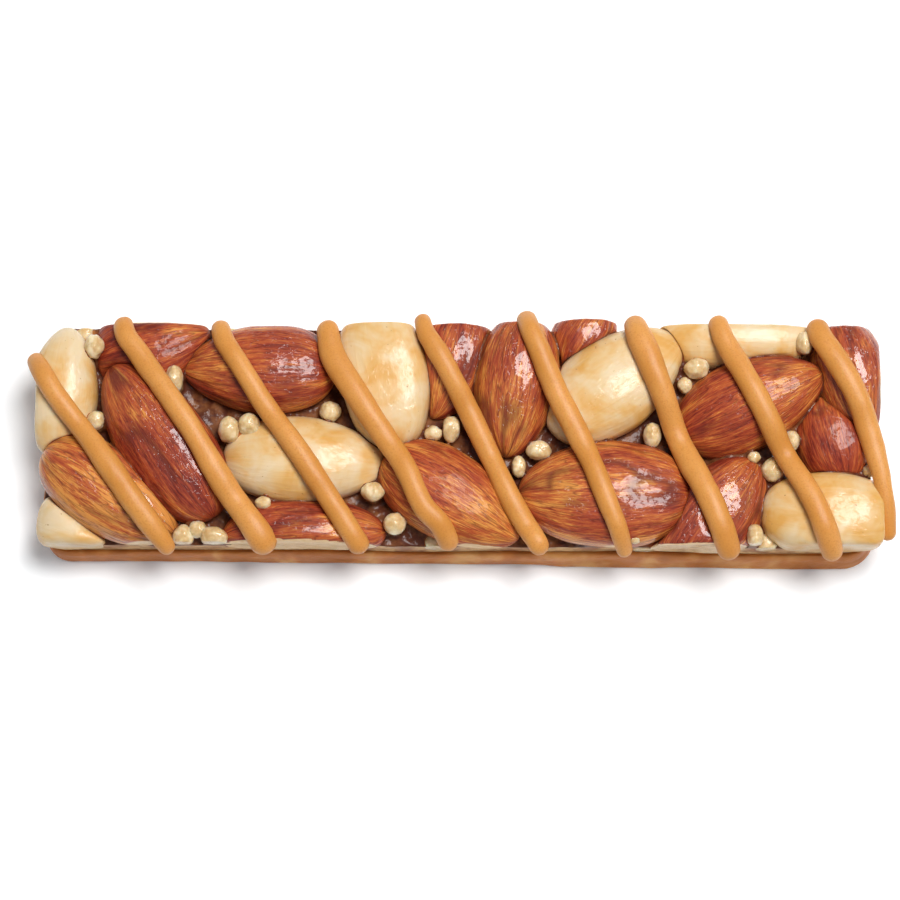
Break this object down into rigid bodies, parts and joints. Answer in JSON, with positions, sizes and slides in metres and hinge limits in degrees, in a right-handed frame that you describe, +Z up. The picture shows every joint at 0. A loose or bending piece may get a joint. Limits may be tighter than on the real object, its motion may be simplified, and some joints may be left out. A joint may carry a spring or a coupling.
{
  "type": "nut bar",
  "caption": "Long rectangular snack bar of whole glazed nuts and small round crisps on a caramel coat, with caramel beads drizzled slantwise across the top.",
  "frame": {"origin": "middle of the flat underside, at the bottom centre of the bar's box", "axes": "+X along the bar, +Y across it towards the far side of the picture, +Z up"},
  "size_m": [0.1164, 0.0344, 0.0165],
  "materials": {
    "almond": "brown almond skin with fine lengthwise flutes under a thin sugar glaze",
    "blanched_nut": "ivory nut flesh with golden toasted streaks under a thin sugar glaze",
    "syrup": "set syrup, dark amber and glossy",
    "crisp": "puffed beige crisp, wrinkled and glazed",
    "caramel_coat": "smooth brown caramel coat, satin",
    "caramel_drizzle": "thick caramel, satin with fine speckle"
  },
  "bodies": {
    "root": {"caramel_coat": "caramel_coat", "syrup_and_crisps": "syrup", "almond_01": "almond", "almond_02": "almond", "almond_03": "almond", "almond_04": "almond", "almond_05": "almond", "almond_06": "almond", "almond_07": "almond", "almond_08": "almond", "almond_09": "almond", "almond_10": "almond", "almond_11": "almond", "almond_12": "almond", "almond_13": "almond", "almond_14": "almond", "blanched_nut_1": "blanched_nut", "blanched_nut_2": "blanched_nut", "blanched_nut_3": "blanched_nut", "blanched_nut_4": "blanched_nut", "blanched_nut_5": "blanched_nut", "blanched_nut_6": "blanched_nut", "blanched_nut_7": "blanched_nut", "drizzle_1": "caramel_drizzle", "drizzle_2": "caramel_drizzle", "drizzle_3": "caramel_drizzle", "drizzle_4": "caramel_drizzle", "drizzle_5": "caramel_drizzle", "drizzle_6": "caramel_drizzle", "drizzle_7": "caramel_drizzle", "drizzle_8": "caramel_drizzle", "drizzle_9": "caramel_drizzle"}
  },
  "joints": []
}
